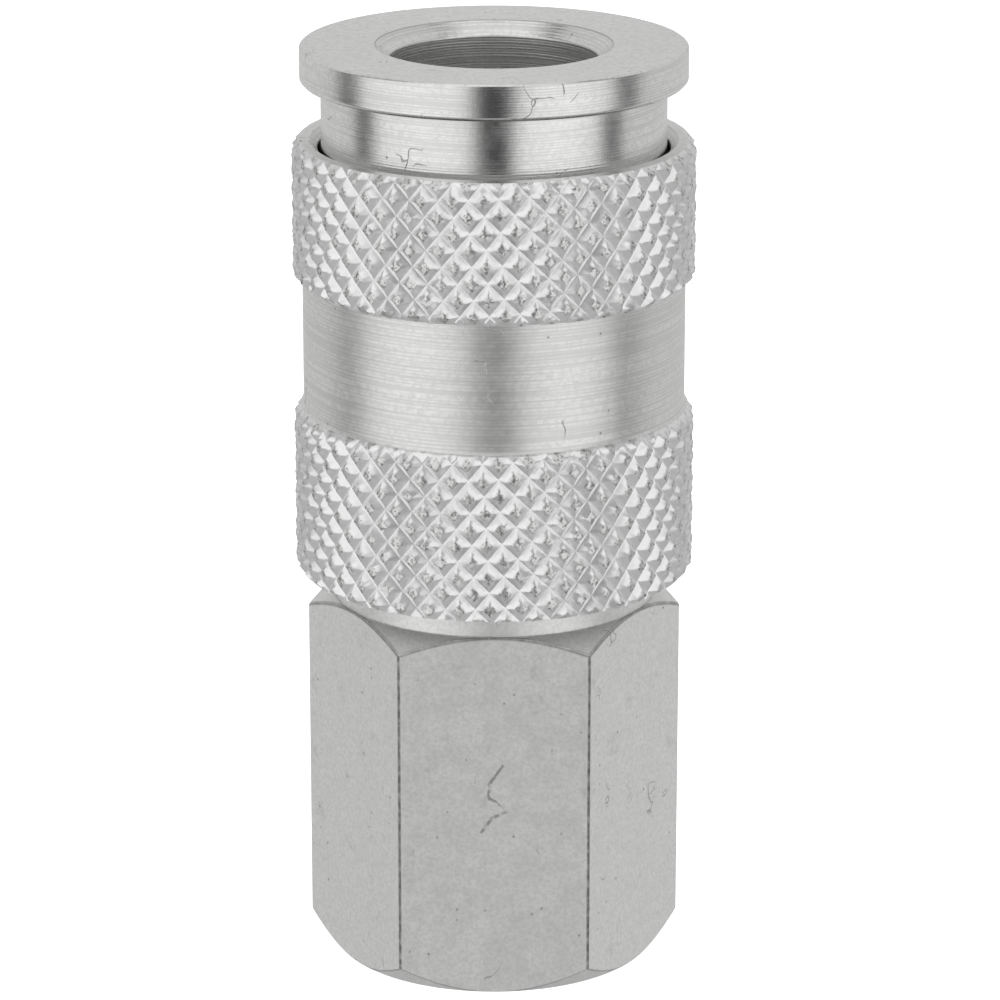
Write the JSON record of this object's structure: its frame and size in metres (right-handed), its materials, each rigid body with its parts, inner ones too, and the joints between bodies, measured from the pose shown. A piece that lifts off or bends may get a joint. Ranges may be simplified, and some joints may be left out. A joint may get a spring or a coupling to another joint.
{
  "type": "quick disconnect coupler",
  "caption": "Push-to-connect pneumatic coupler with a ball lock, a knurled sliding sleeve, a shut-off valve and a hexagon with a female inlet thread.",
  "frame": {"origin": "centre of the hexagon's rear face, on the coupler's axis", "axes": "+Z along the coupler's axis towards the nose where the plug goes in; two of the hexagon's flats face +Y and -Y"},
  "size_m": [0.0234, 0.0234, 0.0545],
  "materials": {
    "nose_steel": "turned and plated, satin",
    "sleeve_steel": "knurled and plated, satin",
    "adapter_steel": "drawn hexagon, plated, satin",
    "inner_steel": "turned, plain",
    "ball_steel": "ground and polished",
    "spring_steel": "drawn wire",
    "brass": "turned",
    "seal_rubber": "moulded, matt",
    "gasket": "cut sheet, matt"
  },
  "bodies": {
    "body": {"hex_adapter": "adapter_steel", "nose_body": "nose_steel", "body_gasket": "gasket", "valve_guide": "brass", "valve_seat": "brass", "seat_circlip": "spring_steel", "plug_seal": "seal_rubber", "seal_washer": "inner_steel", "sleeve_spring": "spring_steel", "retainer_spring": "spring_steel", "valve_spring": "spring_steel"},
    "sleeve": {"sleeve": "sleeve_steel"},
    "retainer": {"ball_retainer": "inner_steel"},
    "valve": {"valve_poppet": "brass", "poppet_seal": "seal_rubber"},
    "ball_1": {"ball_1": "ball_steel"},
    "ball_2": {"ball_2": "ball_steel"},
    "ball_3": {"ball_3": "ball_steel"},
    "ball_4": {"ball_4": "ball_steel"},
    "ball_5": {"ball_5": "ball_steel"},
    "ball_6": {"ball_6": "ball_steel"}
  },
  "joints": [
    {"name": "sleeve_slide", "type": "slide", "parent": "body", "child": "sleeve", "axis": [0, 0, 1], "range_m": [0, 0.0033], "deforming": ["sleeve_spring"]},
    {"name": "retainer_slide", "type": "slide", "parent": "body", "child": "retainer", "axis": [0, 0, 1], "range_m": [-0.0067, 0], "stiffness_N_per_m": 130, "springref_m": 0.008, "deforming": ["retainer_spring"]},
    {"name": "valve_slide", "type": "slide", "parent": "body", "child": "valve", "axis": [0, 0, 1], "range_m": [-0.003, 0], "stiffness_N_per_m": 500, "springref_m": 0.004, "deforming": ["valve_spring"]},
    {"name": "ball_1_slide", "type": "slide", "parent": "body", "child": "ball_1", "axis": [1, 0, 0], "range_m": [-0.00121, 0]},
    {"name": "ball_2_slide", "type": "slide", "parent": "body", "child": "ball_2", "axis": [0.5, 0.866, 0], "range_m": [-0.00121, 0]},
    {"name": "ball_3_slide", "type": "slide", "parent": "body", "child": "ball_3", "axis": [-0.5, 0.866, 0], "range_m": [-0.00121, 0]},
    {"name": "ball_4_slide", "type": "slide", "parent": "body", "child": "ball_4", "axis": [-1, 0, 0], "range_m": [-0.00121, 0]},
    {"name": "ball_5_slide", "type": "slide", "parent": "body", "child": "ball_5", "axis": [-0.5, -0.866, 0], "range_m": [-0.00121, 0]},
    {"name": "ball_6_slide", "type": "slide", "parent": "body", "child": "ball_6", "axis": [0.5, -0.866, 0], "range_m": [-0.00121, 0]}
  ],
  "couplings": [
    {"joint": "retainer_slide", "follows": "sleeve_slide", "ratio": -2},
    {"joint": "ball_1_slide", "follows": "sleeve_slide", "ratio": -0.36364},
    {"joint": "ball_2_slide", "follows": "sleeve_slide", "ratio": -0.36364},
    {"joint": "ball_3_slide", "follows": "sleeve_slide", "ratio": -0.36364},
    {"joint": "ball_4_slide", "follows": "sleeve_slide", "ratio": -0.36364},
    {"joint": "ball_5_slide", "follows": "sleeve_slide", "ratio": -0.36364},
    {"joint": "ball_6_slide", "follows": "sleeve_slide", "ratio": -0.36364}
  ]
}
